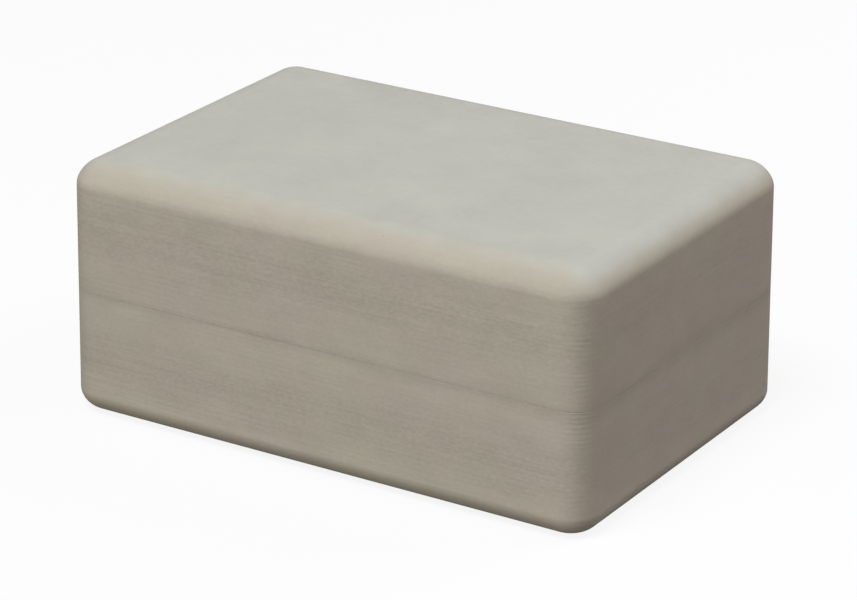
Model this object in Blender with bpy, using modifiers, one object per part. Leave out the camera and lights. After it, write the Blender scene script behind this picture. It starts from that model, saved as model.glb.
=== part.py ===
"""A firm foam exercise block of 9 x 6 x 4 inches, glued up from two foam slabs.

The slabs are one shape, used twice: the lower one is turned over. A film of cured adhesive bonds
them at mid height. Every outer edge is rounded over, and the walls lean in a little towards the
seam, where the glue drew the foam in. Metres, +Z up, +X along the length, with the origin at the
middle of the underside.
"""

import math

import bmesh
import bpy

# Driving dimensions, in metres
BLOCK_LENGTH = 0.2286
BLOCK_WIDTH = 0.1524
BLOCK_HEIGHT = 0.1016
CORNER_RADIUS = 0.0125  # upright corners
TOP_EDGE_RADIUS = 0.0115  # round the upper slab's skin face
BOTTOM_EDGE_RADIUS = 0.0085  # round the lower slab's skin face
SEAM_DRAW_IN = 0.0004  # how far each wall has come in where it reaches the seam
SEAM_DRAW_HEIGHT = 0.011  # height of wall that leans in
FILM_THICKNESS = 0.0004
FILM_SET_BACK = 0.0005  # from the edge of the glued faces in to the edge of the film
BOND_CLEARANCE = 0.0003  # from the film to each glued face

# Facets
ROUND_STEPS = 10  # across a rounded edge
DRAW_STEPS = 5  # up the part of a wall that leans in

# Finishes
FOAM_COLOUR = (0.445, 0.409, 0.342, 1.0)
FILM_COLOUR = (0.231, 0.202, 0.162, 1.0)
FOAM_ROUGHNESS = 0.92
FILM_ROUGHNESS = 0.6

SEAM_HEIGHT = BLOCK_HEIGHT / 2
SLAB_HEIGHT = SEAM_HEIGHT - FILM_THICKNESS / 2 - BOND_CLEARANCE


def clear_scene():
    for obj in list(bpy.data.objects):
        bpy.data.objects.remove(obj, do_unlink=True)


def matte_material(name, colour, roughness):
    material = bpy.data.materials.new(name)
    material.use_nodes = True
    shader = material.node_tree.nodes["Principled BSDF"]
    shader.inputs["Base Color"].default_value = colour
    shader.inputs["Roughness"].default_value = roughness
    shader.inputs["Metallic"].default_value = 0.0
    return material


def box_on_floor(length, width, height):
    """A bmesh box that stands on z = 0, centred on the Z axis."""
    bm = bmesh.new()
    bmesh.ops.create_cube(bm, size=1.0)
    bmesh.ops.translate(bm, verts=bm.verts, vec=(0.0, 0.0, 0.5))
    bmesh.ops.scale(bm, verts=bm.verts, vec=(length, width, height))
    return bm


def cut_rings(bm, heights):
    """Cuts a level ring of edges round the box at each height."""
    for height in heights:
        everything = bm.verts[:] + bm.edges[:] + bm.faces[:]
        bmesh.ops.bisect_plane(bm, geom=everything, plane_co=(0, 0, height), plane_no=(0, 0, 1))


def draw_in_walls(bm):
    """Leans the walls in towards z = 0 along a parabola, which meets the upright wall smoothly."""
    for vert in bm.verts:
        below = max(0.0, 1.0 - vert.co.z / SEAM_DRAW_HEIGHT)
        inset = SEAM_DRAW_IN * below**2
        vert.co.x -= math.copysign(inset, vert.co.x)
        vert.co.y -= math.copysign(inset, vert.co.y)


def weigh_edges(bm, height, upright_weight, upper_weight):
    """Bevel weights for the upright edges and for those round the upper face."""
    weights = bm.edges.layers.float.new("bevel_weight_edge")
    near = height * 1e-4
    for edge in bm.edges:
        low, high = sorted(vert.co.z for vert in edge.verts)
        if high - low > near:
            edge[weights] = upright_weight
        elif low > height - near:
            edge[weights] = upper_weight


def rounded_object(name, bm, height, upright_radius, upper_radius, material, parent, collection):
    """The box as an object whose weighted edges a Bevel modifier rounds to their radii."""
    widest = max(upright_radius, upper_radius)
    weigh_edges(bm, height, upright_radius / widest, upper_radius / widest)
    mesh = bpy.data.meshes.new(name)
    bm.to_mesh(mesh)
    bm.free()
    mesh.materials.append(material)
    mesh.shade_smooth()
    mesh.set_sharp_from_angle(angle=math.radians(30))
    obj = bpy.data.objects.new(name, mesh)
    obj.parent = parent
    collection.objects.link(obj)
    bevel = obj.modifiers.new("rounded_edges", "BEVEL")
    bevel.limit_method = "WEIGHT"
    bevel.width = widest
    bevel.segments = ROUND_STEPS
    bevel.use_clamp_overlap = False
    return obj


def foam_slab(name, skin_radius, foam, parent, collection):
    """A slab with its glued face on z = 0 and its skin face up."""
    bm = box_on_floor(BLOCK_LENGTH, BLOCK_WIDTH, SLAB_HEIGHT)
    cut_rings(bm, [SEAM_DRAW_HEIGHT * step / DRAW_STEPS for step in range(1, DRAW_STEPS + 1)])
    draw_in_walls(bm)
    return rounded_object(
        name, bm, SLAB_HEIGHT, CORNER_RADIUS, skin_radius, foam, parent, collection
    )


def adhesive_film(name, glue, parent, collection):
    """The film, with its edge a set-back inside the outline of the glued faces."""
    inset = SEAM_DRAW_IN + FILM_SET_BACK
    bm = box_on_floor(BLOCK_LENGTH - 2 * inset, BLOCK_WIDTH - 2 * inset, FILM_THICKNESS)
    return rounded_object(
        name, bm, FILM_THICKNESS, CORNER_RADIUS - FILM_SET_BACK, 0.0, glue, parent, collection
    )


def build_block():
    collection = bpy.data.collections.new("foam_exercise_block")
    bpy.context.scene.collection.children.link(collection)
    underside = bpy.data.objects.new("underside", None)
    collection.objects.link(underside)

    foam = matte_material("eva_foam", FOAM_COLOUR, FOAM_ROUGHNESS)
    glue = matte_material("cured_adhesive", FILM_COLOUR, FILM_ROUGHNESS)

    upper = foam_slab("upper_slab", TOP_EDGE_RADIUS, foam, underside, collection)
    upper.location.z = BLOCK_HEIGHT - SLAB_HEIGHT

    lower = foam_slab("lower_slab", BOTTOM_EDGE_RADIUS, foam, underside, collection)
    lower.rotation_euler.x = math.pi
    lower.location.z = SLAB_HEIGHT

    film = adhesive_film("bond_film", glue, underside, collection)
    film.location.z = SEAM_HEIGHT - FILM_THICKNESS / 2


clear_scene()
build_block()
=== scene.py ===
# %% [markdown]
# # A foam exercise block
#
# The real thing is a firm block of closed-cell foam, 9 x 6 x 4 inches, glued up from two slabs.
# It has no moving parts, so all of its character is in its surface: a smooth moulded skin on the
# broad faces, milled sides with fine level tool marks, edges rounded over with a cutter, and a
# seam at mid height where the glue drew the foam in.
#
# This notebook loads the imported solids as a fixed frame, sets up the camera and a studio, then
# works out a finer surface for each slab with numpy and gives it a procedural foam finish.

# %% Load the frame
import math

import bpy
import numpy as np
from mathutils import Matrix, Vector


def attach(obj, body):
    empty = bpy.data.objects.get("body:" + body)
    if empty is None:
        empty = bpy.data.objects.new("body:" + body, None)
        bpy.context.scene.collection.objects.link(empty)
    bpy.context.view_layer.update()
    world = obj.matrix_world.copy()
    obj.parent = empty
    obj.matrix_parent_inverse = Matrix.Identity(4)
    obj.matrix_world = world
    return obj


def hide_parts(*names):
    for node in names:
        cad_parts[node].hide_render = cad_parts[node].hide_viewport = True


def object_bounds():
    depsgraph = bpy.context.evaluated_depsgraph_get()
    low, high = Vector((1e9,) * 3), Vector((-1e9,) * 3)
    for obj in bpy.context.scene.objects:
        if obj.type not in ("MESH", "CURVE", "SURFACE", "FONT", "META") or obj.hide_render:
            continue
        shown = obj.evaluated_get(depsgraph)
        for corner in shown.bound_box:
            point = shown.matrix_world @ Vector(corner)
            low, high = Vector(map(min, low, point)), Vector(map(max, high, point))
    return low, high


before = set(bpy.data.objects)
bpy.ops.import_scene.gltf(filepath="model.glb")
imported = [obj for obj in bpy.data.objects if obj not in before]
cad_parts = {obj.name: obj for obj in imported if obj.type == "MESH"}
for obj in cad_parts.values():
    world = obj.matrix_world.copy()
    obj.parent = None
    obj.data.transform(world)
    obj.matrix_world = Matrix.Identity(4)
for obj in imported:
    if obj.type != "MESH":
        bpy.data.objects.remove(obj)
CAD_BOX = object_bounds()
MM = 0.001
print("nodes:", sorted(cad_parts), "box:", np.round(CAD_BOX, 4).tolist())

# %% [markdown]
# ## Camera
#
# The photograph is a product picture, taken from far off with a long lens, so the block's edges
# hardly converge. The camera was fitted to the outline of the block at its known size: azimuth is
# measured from the long front side towards the right-hand end, elevation from the floor. A long
# lens from 1.4 m gives that flat perspective, where a normal lens close by would splay the sides.

# %% Place the camera
PICTURE_WIDTH_PX = 857
FOCAL_LENGTH_PX = 3680.1
SENSOR_WIDTH_MM = 36.0
AZIMUTH = math.radians(31.865)
ELEVATION = math.radians(21.999)
ROLL = math.radians(0.324)
DISTANCE = 1.3897
AIM = Vector((9.82 * MM, -13.09 * MM, 50.8 * MM))

back = Vector(
    (
        math.sin(AZIMUTH) * math.cos(ELEVATION),
        -math.cos(AZIMUTH) * math.cos(ELEVATION),
        math.sin(ELEVATION),
    )
)
level_right = Vector((math.cos(AZIMUTH), math.sin(AZIMUTH), 0.0))
level_up = back.cross(level_right)
right = level_right * math.cos(ROLL) + level_up * math.sin(ROLL)
up = level_up * math.cos(ROLL) - level_right * math.sin(ROLL)
turned = Matrix((right, up, back)).transposed().to_4x4()

camera = bpy.data.objects.new("camera", bpy.data.cameras.new("camera"))
camera.data.sensor_width = SENSOR_WIDTH_MM
camera.data.lens = FOCAL_LENGTH_PX / PICTURE_WIDTH_PX * SENSOR_WIDTH_MM
camera.matrix_world = Matrix.Translation(AIM + back * DISTANCE) @ turned
bpy.context.scene.collection.objects.link(camera)
bpy.context.scene.camera = camera
print(f"camera: {camera.data.lens:.1f} mm lens, {DISTANCE:.2f} m away")

# %% [markdown]
# ## Colours and nodes
#
# Colours are given as sRGB hex values, but Blender's sockets take linear light, so one function
# turns one into the other. Another small function adds a shader node with its settings and links
# in one go, which keeps each material readable as a list of steps.


# %% Two helpers
def linear(hex_colour):
    """sRGB to linear light: c / 12.92 for dark values, ((c + 0.055) / 1.055) ** 2.4 for the rest."""
    srgb = np.array([int(hex_colour[i : i + 2], 16) for i in (1, 3, 5)]) / 255
    light = np.where(srgb <= 0.04045, srgb / 12.92, ((srgb + 0.055) / 1.055) ** 2.4)
    return (*light.tolist(), 1.0)


def node(tree, kind, inputs=(), **settings):
    """Adds a node. Settings are its properties; inputs map a socket to a value or to an output."""
    made = tree.nodes.new(kind)
    for name, value in settings.items():
        setattr(made, name, value)
    for socket, value in dict(inputs).items():
        if isinstance(value, bpy.types.NodeSocket):
            tree.links.new(value, made.inputs[socket])
        else:
            made.inputs[socket].default_value = value
    return made


print("mid grey in linear light:", round(linear("#808080")[0], 3))

# %% [markdown]
# ## Background
#
# The photograph's background is pure white. Lighting a floor until it burns out would also burn
# out the block, so the white is painted instead: rays from the camera see white, and the rays that
# carry light to the block see a dim, warm room. Mirrors and glass would show the white too.

# %% Make the world
AMBIENT_COLOUR = linear("#FFDCA7")
AMBIENT_STRENGTH = 0.091


def seen_directly(tree):
    """1 for rays from the camera, off a gloss or through glass, and 0 for the light on things."""
    path = node(tree, "ShaderNodeLightPath")
    seen = path.outputs["Is Camera Ray"]
    for ray in ("Is Glossy Ray", "Is Transmission Ray"):
        inputs = {0: seen, 1: path.outputs[ray]}
        seen = node(tree, "ShaderNodeMath", inputs, operation="MAXIMUM").outputs[0]
    return seen


def white_world():
    """A world of pure white to the eye and of dim ambient light to the block."""
    world = bpy.data.worlds.new("studio")
    world.use_nodes = True
    tree = world.node_tree
    tree.nodes.clear()
    ambient = node(
        tree, "ShaderNodeBackground", {"Color": AMBIENT_COLOUR, "Strength": AMBIENT_STRENGTH}
    )
    white = node(tree, "ShaderNodeBackground", {"Strength": 1.0})
    both = node(
        tree,
        "ShaderNodeMixShader",
        {0: seen_directly(tree), 1: ambient.outputs[0], 2: white.outputs[0]},
    )
    node(tree, "ShaderNodeOutputWorld", {"Surface": both.outputs[0]})
    bpy.context.scene.world = world


white_world()
bpy.context.scene.view_settings.view_transform = "Standard"
print(f"world: white to the camera, {AMBIENT_STRENGTH} to the block")

# %% [markdown]
# ## Floor
#
# The floor is a white paper sweep. To the camera it glows under its ordinary matte finish, so that
# it reads as white, and it keeps part of its shading, so the block's soft shadow still ties it to
# the ground.
#
# The light that a floor sends back up shapes the lower edge of a pale block. Here the paper is
# mid grey to that light, with a painted pool of paler bounce light round the block and painted
# shade close under its rounded edge, which keeps that edge crisp. One plane with a colour ramp over
# the distance paints all three, where real cards would show in the picture.

# %% Make the floor
FLOOR_SIDE = 8.0
FLOOR_DROP = 0.05 * MM
FLOOR_WHITE = linear("#F6F6F6")
FLOOR_GLOW_SHARE = 0.88
PAINTED_POOL_REACH = 45 * MM
# Share of that reach out from the block, and the colour of the floor to the light at that place:
# painted shade next to the block, a painted pool of bounce light, then the plain mid grey
PAINTED_BOUNCE = ((0.0, "#4A4A4C"), (0.3, "#939290"), (1.0, "#605F5E"))


def floor_bounce(tree):
    """The floor's colour to light, from the distance out from the block as a share of the reach.

    The distance is the length of the larger of |place| - half size and 0, on each axis.
    """
    nothing = (0.0, 0.0, 0.0)
    place = node(tree, "ShaderNodeTexCoord").outputs["Object"]
    for operation, other in (("ABSOLUTE", nothing), ("SUBTRACT", CAD_BOX[1]), ("MAXIMUM", nothing)):
        inputs = {0: place, 1: other}
        place = node(tree, "ShaderNodeVectorMath", inputs, operation=operation).outputs[0]
    away = node(tree, "ShaderNodeVectorMath", {0: place}, operation="LENGTH").outputs["Value"]
    share = node(tree, "ShaderNodeMath", {0: away, 1: PAINTED_POOL_REACH}, operation="DIVIDE")
    # The ramp paints shade on the floor close under the block's edge and a pool of bounce light round
    # it.
    bounce = node(tree, "ShaderNodeValToRGB", {"Fac": share.outputs[0]})
    stops = bounce.color_ramp.elements
    stops.new(PAINTED_BOUNCE[1][0])
    for stop, (position, colour) in zip(stops, PAINTED_BOUNCE):
        stop.position, stop.color = position, linear(colour)
    return bounce.outputs[0]


def white_paper():
    """Matte paper, which to the camera is mostly an even glow and keeps a faint shadow."""
    material = bpy.data.materials.new("white_paper_sweep")
    material.use_nodes = True
    tree = material.node_tree
    tree.nodes.clear()
    seen = seen_directly(tree)
    share = node(tree, "ShaderNodeMath", {0: seen, 1: FLOOR_GLOW_SHARE}, operation="MULTIPLY")
    colour = node(
        tree, "ShaderNodeMix", {0: seen, 6: floor_bounce(tree), 7: FLOOR_WHITE}, data_type="RGBA"
    )
    paper = node(tree, "ShaderNodeBsdfDiffuse", {"Color": colour.outputs[2]})
    glow = node(tree, "ShaderNodeEmission", {"Strength": 1.0})
    both = node(
        tree, "ShaderNodeMixShader", {0: share.outputs[0], 1: paper.outputs[0], 2: glow.outputs[0]}
    )
    node(tree, "ShaderNodeOutputMaterial", {"Surface": both.outputs[0]})
    return material


half = FLOOR_SIDE / 2
corners = [(-half, -half), (half, -half), (half, half), (-half, half)]
floor = bpy.data.objects.new("floor", bpy.data.meshes.new("floor"))
floor.data.from_pydata([(x, y, -FLOOR_DROP) for x, y in corners], [], [(0, 1, 2, 3)])
floor.data.materials.append(white_paper())
bpy.context.scene.collection.objects.link(floor)
print(f"floor: {FLOOR_SIDE:.0f} m square, {FLOOR_GLOW_SHARE:.0%} painted white")

# %% [markdown]
# ## Lights
#
# Top, front and end of the block differ clearly in tone, and no edge of a shadow falls on it, so
# the studio has a few large soft lights and no hard one. The main one hangs high in front, two low
# ones fill the front, and one behind lifts the end. One big dome of light would be simpler, but it
# would level out the three tones.


# %% Hang the lights
def softbox(name, place, width, height, power, colour):
    """A rectangular area light that faces the middle of the block."""
    lamp = bpy.data.lights.new(name, "AREA")
    lamp.shape = "RECTANGLE"
    lamp.size, lamp.size_y = width, height
    lamp.energy = power
    lamp.color = linear(colour)[:3]
    light = bpy.data.objects.new(name, lamp)
    light.location = place
    light.rotation_euler = (Vector(place) - AIM).to_track_quat("Z", "Y").to_euler()
    bpy.context.scene.collection.objects.link(light)


softbox("front_top", (0.0, -1.13, 2.54), 1.26, 1.26, 54.5, "#F4FBFF")
softbox("front_left", (-0.73, -1.27, 0.36), 0.7, 0.6, 3.86, "#FEFFF0")
softbox("front_right", (0.73, -1.27, 0.36), 0.7, 0.6, 3.96, "#FFF7F8")
softbox("back_right", (0.76, 0.91, 0.95), 0.8, 0.8, 8.75, "#FAF9FF")

# %% [markdown]
# ## The block's plan
#
# Seen from above, the block is a rectangle with round corners. Each point of that outline is a
# corner's centre, or a point of the straight run between two centres, plus a radius along the
# outward normal. Kept in that form, the outline can be drawn in or let out by any amount, just by
# changing the radius, and the corners stay true arcs. The normal also says which side a point is
# on, and the long sides, ends and corners of the real block differ a little in their finish.

# %% Work out the outline
CORNER_RADIUS = 12.5 * MM
GRID_STEP = 2.4 * MM
CORNER_STEPS = 12

HALF = np.array([CAD_BOX[1][0] - CAD_BOX[0][0], CAD_BOX[1][1] - CAD_BOX[0][1]]) / 2
STRAIGHT = HALF - CORNER_RADIUS
STEPS = np.round(2 * STRAIGHT / GRID_STEP).astype(int)


def one_side(half_run, reach, steps):
    """A side from mid corner to mid corner: half an arc, a straight run and half an arc."""
    turn = np.linspace(0, math.pi / 4, CORNER_STEPS // 2 + 1)[1:]
    angle = np.concatenate([-turn[::-1], np.zeros(steps + 1), turn])
    along = np.concatenate(
        [
            np.full(len(turn), -half_run),
            np.linspace(-half_run, half_run, steps + 1),
            np.full(len(turn), half_run),
        ]
    )
    centres = np.stack([along, np.full(len(along), -reach)], axis=1)
    normals = np.stack([np.sin(angle), -np.cos(angle)], axis=1)
    return centres[:-1], normals[:-1]


def block_outline():
    """Centres and outward normals of the four sides in turn, anticlockwise from above."""
    quarter = np.array([[0, 1], [-1, 0]])
    centres, normals = [], []
    for side in range(4):
        run, reach = STRAIGHT if side % 2 == 0 else STRAIGHT[::-1]
        spin = np.linalg.matrix_power(quarter, side)
        c, n = one_side(run, reach, STEPS[side % 2])
        centres.append(c @ spin)
        normals.append(n @ spin)
    return np.concatenate(centres), np.concatenate(normals)


CENTRES, NORMALS = block_outline()
CORNER_SHARE = 4 * (NORMALS[:, 0] * NORMALS[:, 1]) ** 2
LONG_SIDE_SHARE = NORMALS[:, 1] ** 2


def by_side(on_ends):
    """A factor at each outline point: on_ends on the ends, blending to 1 on the long sides."""
    return on_ends + (1 - on_ends) * LONG_SIDE_SHARE


print(f"outline: {len(CENTRES)} points round {np.round(2 * HALF / MM, 1)} mm")

# %% [markdown]
# ## The slab's profile
#
# Cut across an edge, a slab runs out from the glued face over a tiny soft lip, up the wall, and
# over the rounded edge to the skin. Near the glue the wall swings in by a tenth of a millimetre.
# The rounded edge turns quickly off the wall and then slowly onto the skin, as foam does when a
# round cutter is set a little shallow, so it is made of two arcs and not of one bevel.

# %% Work out the profile
SEAM_DRAW_IN = 0.1 * MM
SEAM_DRAW_HEIGHT = 10 * MM
SEAM_DRAW_START = 2 * MM
LIP_RADIUS = 0.06 * MM
LIP_STEPS = 4
WALL_STEP = 0.36 * MM
ROUND_STEPS = 24
FIRST_TURN = math.radians(30)


def slab_profile(height, first_radius, second_radius):
    """Inset of lip and edge, inset towards the seam, height, and angle of the normal.

    The lip is a quarter circle. The wall's inset falls from its full amount to nothing along
    t * t * (3 - 2 * t). The rounded edge is an arc of the first radius through the first turn,
    then one of the second radius for the rest of the quarter turn.
    """
    lip = np.linspace(-math.pi / 2, 0, LIP_STEPS + 1)[:-1]
    over = np.linspace(0, math.pi / 2, ROUND_STEPS + 1)[1:]
    early, late = np.minimum(over, FIRST_TURN), np.maximum(over, FIRST_TURN)
    climb = first_radius * np.sin(early) + second_radius * (np.sin(late) - math.sin(FIRST_TURN))
    run = first_radius * (1 - np.cos(early)) + second_radius * (math.cos(FIRST_TURN) - np.cos(late))
    start = height - climb[-1]
    count = int((start - LIP_RADIUS) / WALL_STEP)
    wall = np.linspace(LIP_RADIUS, start, count)
    rise = np.concatenate([LIP_RADIUS * (1 + np.sin(lip)), wall, start + climb])
    t = 1 - np.clip((rise - SEAM_DRAW_START) / (SEAM_DRAW_HEIGHT - SEAM_DRAW_START), 0, 1)
    curl = np.concatenate([LIP_RADIUS * (1 - np.cos(lip)), np.zeros(count), run])
    tilt = np.concatenate([lip, np.zeros(count), over])
    return curl, SEAM_DRAW_IN * t * t * (3 - 2 * t), rise, tilt


SEAM_HEIGHT = 50.1 * MM
SEAM_GAP = 0.12 * MM
LOWER_HEIGHT = SEAM_HEIGHT - SEAM_GAP / 2 - CAD_BOX[0][2]
UPPER_HEIGHT = CAD_BOX[1][2] - SEAM_HEIGHT - SEAM_GAP / 2
# The two radii of each rounded edge. Their run inwards has to stay under the corner's radius.
TOP_ROUND = (7.8 * MM, 13.0 * MM)
BOTTOM_ROUND = (8.0 * MM, 9.7 * MM)
section = slab_profile(UPPER_HEIGHT, *TOP_ROUND)
print(f"profile: {len(section[0])} points up {UPPER_HEIGHT / MM:.1f} mm")

# %% [markdown]
# ## Tool marks
#
# The sides were milled with the block lying flat, so fine level lines run round it. They are only
# hundredths of a millimetre deep, but the light catches on them where the cutter chattered round
# the upright corners, so they are real relief and not only a bump in the finish.
#
# A plain cosine up the wall would look like a screw thread. Its phase and depth are pushed about
# by slow random noise, which is smoothed on its spectrum, so that it meets itself round the block.

# %% Make the relief
LINE_DEPTH = 0.007 * MM
LINE_PITCH = 2.0 * MM
CORNER_LINES, END_LINES = 2.3, 0.15  # depth added at the corners, and left on the ends, as shares
LINE_WANDER, LINE_UNEVEN = 1.2, 0.1  # spread of the phase in radians, and of the depth as a share
WANDER_HEIGHT, WANDER_LENGTH = 8 * MM, 90 * MM
WAVE_DEPTH = 0.008 * MM
WAVE_LENGTH = 45 * MM


def blur_steps(height, length):
    """Spread of a blur in grid steps up the wall and along the run: a third of each length."""
    return height / 3 / WALL_STEP, length / 3 / GRID_STEP


def smooth_noise(rng, shape, blur):
    """White noise times a Gaussian in its spectrum, scaled to a spread of 1."""
    noise = rng.standard_normal(shape)
    waves = [np.fft.fftfreq(n) for n in shape]
    pass_up = np.exp(-2 * (math.pi * waves[0] * blur[0]) ** 2)
    pass_along = np.exp(-2 * (math.pi * waves[1] * blur[1]) ** 2)
    field = np.fft.ifft2(np.fft.fft2(noise) * pass_up[:, None] * pass_along).real
    return field / field.std()


def milled_relief(rng, rise):
    """Depth of the level tool lines and of the slow waves of the wall, below the highest point.

    A line is a cosine of the height whose phase and depth wander slowly along the run. The lines
    are faint on the long sides, deepest round the corners and almost gone on the ends.
    """
    shape = (len(rise), len(CENTRES))
    wander = blur_steps(WANDER_HEIGHT, WANDER_LENGTH)
    phase, depth = smooth_noise(rng, shape, wander), smooth_noise(rng, shape, wander)
    waves = smooth_noise(rng, shape, blur_steps(WAVE_LENGTH, WAVE_LENGTH))
    lines = np.cos(2 * math.pi * rise[:, None] / LINE_PITCH + LINE_WANDER * phase)
    lines = lines * (1 + LINE_UNEVEN * depth)
    share = by_side(END_LINES) + CORNER_LINES * CORNER_SHARE
    relief = LINE_DEPTH * share * lines + WAVE_DEPTH * (1 - CORNER_SHARE) * waves
    return relief - relief.max()


print(f"relief: lines {LINE_DEPTH / MM:.3f} mm deep every {LINE_PITCH / MM:.0f} mm")

# %% [markdown]
# ## Closed bodies
#
# Every piece of the block is a stack of rings with a flat face on each end. The flat faces could
# be one big polygon or a fan, but neither shades or exports well, so each is a grid too. It takes
# its border from the last ring and fills the inside by blending opposite borders, which is called
# a Coons patch.


# %% Stack rings and fill the flat faces
def ring_stack(radius, rise):
    """One ring for each height: outline centres plus the radius along the normals."""
    plan = CENTRES + radius[..., None] * NORMALS
    heights = np.broadcast_to(rise[:, None, None], (*plan.shape[:2], 1))
    return np.concatenate([plan, heights], axis=2)


def coons_patch(border):
    """A grid from its border: the blends of both pairs of opposite sides, less that of the corners."""
    nx, ny = STEPS + CORNER_STEPS
    south, east = border[: nx + 1], border[nx : nx + ny + 1]
    north = border[nx + ny : 2 * nx + ny + 1][::-1]
    west = np.concatenate([border[2 * nx + ny :], border[:1]])[::-1]
    u = np.linspace(0, 1, nx + 1)[:, None, None]
    v = np.linspace(0, 1, ny + 1)[None, :, None]
    across = (1 - v) * south[:, None] + v * north[:, None]
    along = (1 - u) * west[None] + u * east[None]
    west_corners = (1 - v) * south[0] + v * north[0]
    east_corners = (1 - v) * south[-1] + v * north[-1]
    return across + along - ((1 - u) * west_corners + u * east_corners)


def patch_numbers(ring, first_inside):
    """Vertex numbers of a patch: its border reuses the ring's, its inside starts at first_inside."""
    nx, ny = STEPS + CORNER_STEPS
    numbers = np.empty((nx + 1, ny + 1), int)
    numbers[:, 0] = ring[: nx + 1]
    numbers[-1, :] = ring[nx : nx + ny + 1]
    numbers[:, -1] = ring[nx + ny : 2 * nx + ny + 1][::-1]
    numbers[0, :] = np.concatenate([ring[2 * nx + ny :], ring[:1]])[::-1]
    numbers[1:-1, 1:-1] = first_inside + np.arange((nx - 1) * (ny - 1)).reshape(nx - 1, ny - 1)
    return numbers


def quads(numbers):
    """The four corners of each cell of a grid of vertex numbers, anticlockwise."""
    return np.stack(
        [numbers[:-1, :-1], numbers[1:, :-1], numbers[1:, 1:], numbers[:-1, 1:]], axis=-1
    ).reshape(-1, 4)


def capped_body(rings):
    """Points and faces of a stack of rings, closed by a patch on the last one and on the first."""
    around = np.arange(rings.shape[0] * rings.shape[1]).reshape(rings.shape[:2])
    closed = np.concatenate([around, around[:, :1]], axis=1)
    insides = [coons_patch(ring)[1:-1, 1:-1].reshape(-1, 3) for ring in (rings[-1], rings[0])]
    last = patch_numbers(around[-1], around.size)
    first = patch_numbers(around[0], around.size + len(insides[0]))
    points = np.concatenate([rings.reshape(-1, 3), *insides])
    faces = np.concatenate([quads(closed.T), quads(last), quads(first)[:, ::-1]])
    return points, faces


print("a flat face has", "x".join(str(n) for n in STEPS + CORNER_STEPS), "cells")

# %% [markdown]
# ## Mesh objects
#
# Whole arrays go into a mesh with foreach_set, which is far quicker than adding vertices one by
# one. Named values at the points go along as attributes, for the finish to read. The walls lean in
# by less than a millimetre over the block's height, which was fitted to its outline in the
# photograph, so every piece is tapered in the same way just before it becomes a mesh.

# %% Turn arrays into objects
WALL_LEAN = 0.79 * MM


def lean_walls(points):
    """Draws points in towards the Z axis in step with their height: full size at the floor."""
    points[:, :2] *= 1 - WALL_LEAN * points[:, 2:] / (CAD_BOX[1][2] * HALF)
    return points


def mesh_object(name, points, faces, attributes=()):
    """A smooth-shaded object from arrays of points, four-cornered faces and values at the points."""
    mesh = bpy.data.meshes.new(name)
    mesh.vertices.add(len(points))
    mesh.vertices.foreach_set("co", points.astype(np.float32).ravel())
    mesh.loops.add(faces.size)
    mesh.loops.foreach_set("vertex_index", faces.astype(np.int32).ravel())
    mesh.polygons.add(len(faces))
    mesh.polygons.foreach_set("loop_start", np.arange(0, faces.size, 4, dtype=np.int32))
    mesh.update(calc_edges=True)
    mesh.validate()
    mesh.shade_smooth()
    for label, values in dict(attributes).items():
        attribute = mesh.attributes.new(label, "FLOAT", "POINT")
        attribute.data.foreach_set("value", values.astype(np.float32))
    obj = bpy.data.objects.new(name, mesh)
    bpy.context.scene.collection.objects.link(obj)
    return obj


print(f"walls lean in by {WALL_LEAN / MM:.2f} mm")

# %% [markdown]
# ## The slabs
#
# A slab is its profile carried along the outline, with the relief on its wall. It is worked out
# with its glued face down, and the lower slab is then turned over. Some of its finish follows the
# form: the skin begins at a distance in from the wall, the middle of the wall is a little darker,
# the wall is darker close to the seam, and the milling is coarser on the long sides. A texture can't
# know these, so they are worked out here as values at the points.

# %% Build the slabs
# How far from the seam the wall is darker, how slowly that reach wanders along the run, and by how
# much
SEAM_DARK_REACH, SEAM_DARK_LENGTH, SEAM_DARK_WANDER = 2.3 * MM, 30 * MM, 0.25
MIDDLE_WIDTH = 0.26  # as a share of the slab's height
FACE_GRAIN = 0.55  # coarseness at a slab's two faces, as a share of that in the middle
# How much of each value the ends have, where the long sides have 1
END_SKIN, END_MIDDLE, END_GRAIN, END_SEAM_DARK = 3.0, 0.5, 0.6, 1.8
UPPER_SEED, LOWER_SEED = 11, 12


def wall_share(tilt):
    """1 on the upright wall, falling with the square of the cosine over the rounded edge."""
    return np.cos(np.maximum(tilt, 0))[:, None] ** 2


def slab_rings(rng, profile):
    """The profile's rings, with the relief where the wall is upright."""
    curl, drawn_in, rise, tilt = profile
    inset = curl[:, None] + drawn_in[:, None] * (1 - CORNER_SHARE)
    relief = milled_relief(rng, rise) * wall_share(tilt)
    return ring_stack(CORNER_RADIUS - inset + relief, rise)


def finish_values(rng, height, profile, points):
    """Values for the finish at the wall's points and then at those of the two flat faces.

    The middle of the wall and the darkening near the seam are bell curves of the height. The
    darkening's reach wanders along the run. On the flat faces, the distance in is that to the nearest
    side.
    """
    curl, _, rise, tilt = profile
    flats = points[len(rise) * len(CENTRES) :]
    none, full = np.zeros(len(flats)), np.ones(len(flats))
    wander = smooth_noise(rng, (1, len(CENTRES)), blur_steps(0, SEAM_DARK_LENGTH))
    reach = SEAM_DARK_REACH * (1 + SEAM_DARK_WANDER * wander) * by_side(END_SEAM_DARK)
    middle = np.exp(-(((rise / height - 0.5) / MIDDLE_WIDTH) ** 2))[:, None]
    coarse = (FACE_GRAIN + (1 - FACE_GRAIN) * middle) * wall_share(tilt)
    to_side = (HALF - np.abs(flats[:, :2])).min(axis=1)
    values = {
        "from_wall_mm": (np.outer(curl, by_side(END_SKIN)) / MM, to_side / MM),
        "middle": (middle * by_side(END_MIDDLE), none),
        "darker_near_seam": (np.exp(-((rise[:, None] / reach) ** 2)), none),
        "coarseness": (coarse * by_side(END_GRAIN), full),
    }
    return {name: np.concatenate([wall.ravel(), flat]) for name, (wall, flat) in values.items()}


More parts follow.
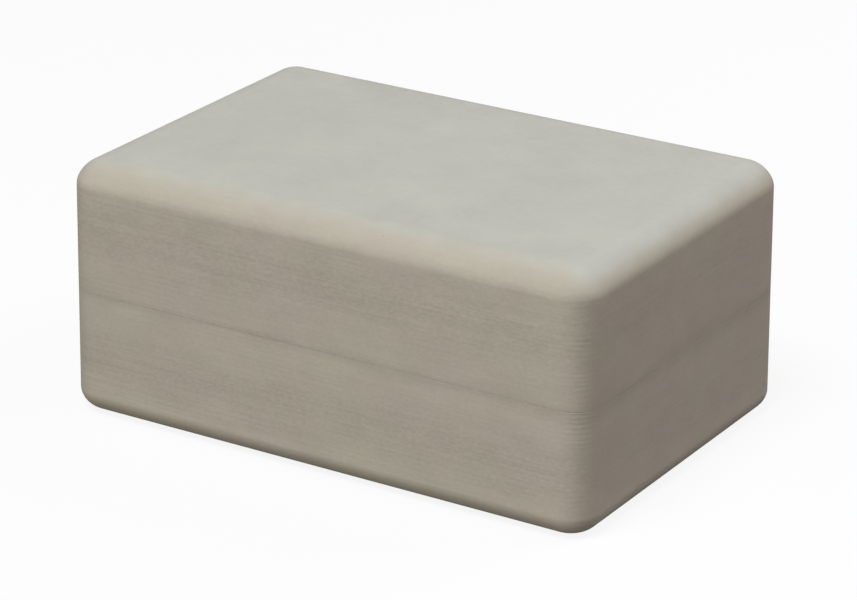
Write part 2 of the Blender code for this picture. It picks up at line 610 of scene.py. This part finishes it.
def foam_slab(name, seed, height, rounding, face_up):
    """A slab that stands on the seam, or hangs from it."""
    rng = np.random.default_rng(seed)
    profile = slab_profile(height, *rounding)
    points, faces = capped_body(slab_rings(rng, profile))
    values = finish_values(rng, height, profile, points)
    if face_up:
        points[:, 2] += SEAM_HEIGHT + SEAM_GAP / 2
    else:
        points[:, 2] = SEAM_HEIGHT - SEAM_GAP / 2 - points[:, 2]
        faces = faces[:, ::-1]
    return mesh_object(name, lean_walls(points), faces, values)


upper_foam = foam_slab("upper_foam", UPPER_SEED, UPPER_HEIGHT, TOP_ROUND, face_up=True)
lower_foam = foam_slab("lower_foam", LOWER_SEED, LOWER_HEIGHT, BOTTOM_ROUND, face_up=False)
for slab in (upper_foam, lower_foam):
    print(slab.name, len(slab.data.polygons), "faces", np.round(np.array(slab.dimensions) / MM, 2))

# %% [markdown]
# ## The glue line
#
# Cured adhesive fills the seam almost flush. Its edge is all that shows: a thin, slightly darker
# line round the block. A dark stripe in the foam's colour could stand in for it, but a real body in
# a real gap also catches a little shade. It is set back a little from the foam on the long sides,
# and less on the ends.

# %% Build the glue line
GLUE_SET_BACK, GLUE_END_SHARE = 0.06 * MM, 0.4
GLUE_SWELL = 0.04 * MM
GLUE_CLEARANCE = 0.01 * MM
GLUE_STEPS = 8


def glue_line():
    """A flat body whose rim bellies out as half a circle, squashed to the gap."""
    half_gap = SEAM_GAP / 2 - GLUE_CLEARANCE
    turn = np.linspace(-math.pi / 2, math.pi / 2, GLUE_STEPS + 1)
    swell = GLUE_SWELL * (1 - np.cos(turn))[:, None]
    set_back = GLUE_SET_BACK * by_side(GLUE_END_SHARE) + SEAM_DRAW_IN * (1 - CORNER_SHARE)
    rings = ring_stack(CORNER_RADIUS - swell - set_back, SEAM_HEIGHT + half_gap * np.sin(turn))
    points, faces = capped_body(rings)
    return mesh_object("glue_line", lean_walls(points), faces)


glue = glue_line()
print(glue.name, len(glue.data.polygons), "faces", np.round(np.array(glue.dimensions) / MM, 2))

# %% [markdown]
# ## Foam patterns
#
# The foam is recycled EVA, a closed-cell foam. Where it was milled it is streaked, grained and
# mottled, and the broad faces keep the skin from the mould, which is smoother and faintly cloudy.
# Each of these is a noise with its own grain size along X, Y and Z, in real millimetres. A picture
# could be wrapped round the block instead, but it would stretch at the corners and show its seams.

# %% Make the patterns
# Grain size in mm along X, Y and Z, and share of brightness on the milled wall and on the skin.
# The real grain is finer than a millimetre and is drawn coarser, so that it shows in the render.
PATTERNS = {
    "streaks": ((60, 60, 1.0), 0.20, 0.0),
    "grain": ((2.0, 2.0, 1.0), 0.30, 0.0),
    "skin_grain": ((3.0, 3.0, 3.0), 0.0, 0.08),
    "mottle": ((14, 14, 7), 0.16, 0.09),
    "clouds": ((30, 30, 30), 0.03, 0.16),
}
MILLING_MARKS = ("streaks", "grain")
NOISE_DETAIL, NOISE_MIDDLE = 2.0, 0.5


def scaled_place(tree, cell_mm):
    """Object coordinates counted in cells of the given size."""
    place = node(tree, "ShaderNodeTexCoord").outputs["Object"]
    cells = {0: place, 1: [1 / (MM * size) for size in cell_mm]}
    return node(tree, "ShaderNodeVectorMath", cells, operation="MULTIPLY").outputs[0]


def pattern_noise(tree):
    """The noise of each pattern by name, with values about the middle."""
    noise = {}
    for name, (grain_mm, _, _) in PATTERNS.items():
        inputs = {"Vector": scaled_place(tree, grain_mm), "Scale": 1.0, "Detail": NOISE_DETAIL}
        noise[name] = node(tree, "ShaderNodeTexNoise", inputs).outputs["Fac"]
    return noise


print("patterns:", ", ".join(PATTERNS))

# %% [markdown]
# ## Skin and brightness
#
# The skin ends on the rounded edge, along a line that wanders, because the cutter went through it
# at a slant. The patterns are added up as a share of the colour's brightness, so that the foam
# keeps its hue, and the darker middle of the wall and the darker band near the seam are taken off.

# %% Find the skin, and add up the brightness
SKIN_START_MM, SKIN_END_MM, SKIN_WANDER_MM = 3.0, 13.0, 2.5
# How much darker the wall is in its middle and close to the seam
DARKER = {"middle": 0.075, "darker_near_seam": 0.095}


def skin_share(tree, mottle):
    """0 on the milled wall and 1 on the skin, by the distance in, pushed about by the mottle."""
    inset = node(tree, "ShaderNodeAttribute", attribute_name="from_wall_mm").outputs["Fac"]
    wander = node(
        tree,
        "ShaderNodeMath",
        {0: mottle, 1: 2 * SKIN_WANDER_MM, 2: -SKIN_WANDER_MM},
        operation="MULTIPLY_ADD",
    )
    edge = node(tree, "ShaderNodeMath", {0: inset, 1: wander.outputs[0]}, operation="ADD")
    return node(
        tree,
        "ShaderNodeMapRange",
        {"Value": edge.outputs[0], "From Min": SKIN_START_MM, "From Max": SKIN_END_MM},
        interpolation_type="SMOOTHSTEP",
    ).outputs[0]


def foam_brightness(tree, noise, skin):
    """1, plus each pattern's share of its noise less the middle, less the darker parts."""
    brightness = 1.0
    coarseness = node(tree, "ShaderNodeAttribute", attribute_name="coarseness").outputs["Fac"]
    for name, (_, on_wall, on_skin) in PATTERNS.items():
        share = node(tree, "ShaderNodeMix", {0: skin, 2: on_wall, 3: on_skin}).outputs[0]
        inputs = {0: noise[name], 1: NOISE_MIDDLE}
        level = node(tree, "ShaderNodeMath", inputs, operation="SUBTRACT").outputs[0]
        if name in MILLING_MARKS:
            inputs = {0: level, 1: coarseness}
            level = node(tree, "ShaderNodeMath", inputs, operation="MULTIPLY").outputs[0]
        inputs = {0: level, 1: share, 2: brightness}
        brightness = node(tree, "ShaderNodeMath", inputs, operation="MULTIPLY_ADD").outputs[0]
    for name, darker in DARKER.items():
        value = node(tree, "ShaderNodeAttribute", attribute_name=name).outputs["Fac"]
        inputs = {0: value, 1: -darker, 2: brightness}
        brightness = node(tree, "ShaderNodeMath", inputs, operation="MULTIPLY_ADD").outputs[0]
    return brightness


print(f"skin: from {SKIN_START_MM} to {SKIN_END_MM} mm in from the wall")

# %% [markdown]
# ## Shade in open cells
#
# Here and there a cell of the foam was cut open, and the shade in its small pit is painted as a
# dark dot. A Voronoi pattern has one random point in each of its cells. The distance to that point
# gives a dot, and the cell's random colour decides which cells have one. Scattering small meshes
# would cost far more for no more look.

# %% Paint shade in the open cells
PORE_CELL_MM = (7.0, 7.0, 4.0)
PORE_RADIUS = 0.075  # as a share of a cell
PORE_SHARE = 0.35
# How much the painted shade in a pit darkens the foam
PORE_SHADE = 0.16


def shade_in_open_cells(tree, brightness):
    """The brightness less a dot of painted shade at the centre of some cells, soft from half its
    radius out.
    """
    inputs = {"Vector": scaled_place(tree, PORE_CELL_MM), "Scale": 1.0}
    cells = node(tree, "ShaderNodeTexVoronoi", inputs)
    chosen = node(
        tree,
        "ShaderNodeMath",
        {0: cells.outputs["Color"], 1: 1 - PORE_SHARE},
        operation="GREATER_THAN",
    )
    dot = node(
        tree,
        "ShaderNodeMapRange",
        {
            "Value": cells.outputs["Distance"],
            "From Min": PORE_RADIUS / 2,
            "From Max": PORE_RADIUS,
            "To Min": -PORE_SHADE,
            "To Max": 0.0,
        },
    )
    inputs = {0: dot.outputs[0], 1: chosen.outputs[0], 2: brightness}
    return node(tree, "ShaderNodeMath", inputs, operation="MULTIPLY_ADD").outputs[0]


print(f"open cells: in {PORE_SHARE:.0%} of cells of {PORE_CELL_MM} mm")

# %% [markdown]
# ## Foam and adhesive
#
# Milled EVA is a warm grey-beige, in two close tones that drift into each other, and its skin is
# cooler and a little lighter. Thousands of tiny cells scatter the light, so it is dead matte, and
# its gloss is half that of solid plastic. The adhesive cures to a slightly darker, smoother film,
# so the seam reads as a thin line.

# %% Mix the materials
SKIN_COLOUR = linear("#C0BFB6")
MILLED_COLOURS = linear("#BFB7AB"), linear("#BEB8A9")
DRIFT_START, DRIFT_END = 0.35, 0.65
ADHESIVE_COLOUR = linear("#A69E8F")


def foam_colour(tree, clouds, skin):
    """Two tones of milled foam, mixed by the clouds, and then the skin."""
    inputs = {"Value": clouds, "From Min": DRIFT_START, "From Max": DRIFT_END}
    drift = node(tree, "ShaderNodeMapRange", inputs).outputs[0]
    inputs = {0: drift, 6: MILLED_COLOURS[0], 7: MILLED_COLOURS[1]}
    milled = node(tree, "ShaderNodeMix", inputs, data_type="RGBA").outputs[2]
    inputs = {0: skin, 6: milled, 7: SKIN_COLOUR}
    return node(tree, "ShaderNodeMix", inputs, data_type="RGBA").outputs[2]


def eva_foam():
    """Matte closed-cell foam: its colour times its brightness."""
    material = bpy.data.materials.new("eva_foam")
    material.use_nodes = True
    tree = material.node_tree
    shader = tree.nodes["Principled BSDF"]
    shader.inputs["Roughness"].default_value = 0.9
    shader.inputs["Specular IOR Level"].default_value = 0.25
    noise = pattern_noise(tree)
    skin = skin_share(tree, noise["mottle"])
    brightness = shade_in_open_cells(tree, foam_brightness(tree, noise, skin))
    inputs = {0: foam_colour(tree, noise["clouds"], skin), "Scale": brightness}
    colour = node(tree, "ShaderNodeVectorMath", inputs, operation="SCALE")
    tree.links.new(colour.outputs[0], shader.inputs["Base Color"])
    return material


def cured_adhesive():
    """A plain, slightly smoother film."""
    material = bpy.data.materials.new("cured_adhesive")
    material.use_nodes = True
    shader = material.node_tree.nodes["Principled BSDF"]
    shader.inputs["Base Color"].default_value = ADHESIVE_COLOUR
    shader.inputs["Roughness"].default_value = 0.7
    return material


foam = eva_foam()
upper_foam.data.materials.append(foam)
lower_foam.data.materials.append(foam)
glue.data.materials.append(cured_adhesive())
print("foam:", len(foam.node_tree.nodes), "nodes")

# %% [markdown]
# ## Tie the pieces to the frame
#
# Each piece rides on the block's one body and stands for its solid, which is hidden. Real foam
# gives under a hand.

# %% Tie the pieces to the frame
for piece, solid, slot in (
    (upper_foam, "upper_slab", "upper_foam"),
    (lower_foam, "lower_slab", "lower_foam"),
    (glue, "bond_film", "adhesive"),
):
    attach(piece, "root")
    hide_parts(solid)
print("tied to the frame:", upper_foam.name, lower_foam.name, glue.name)
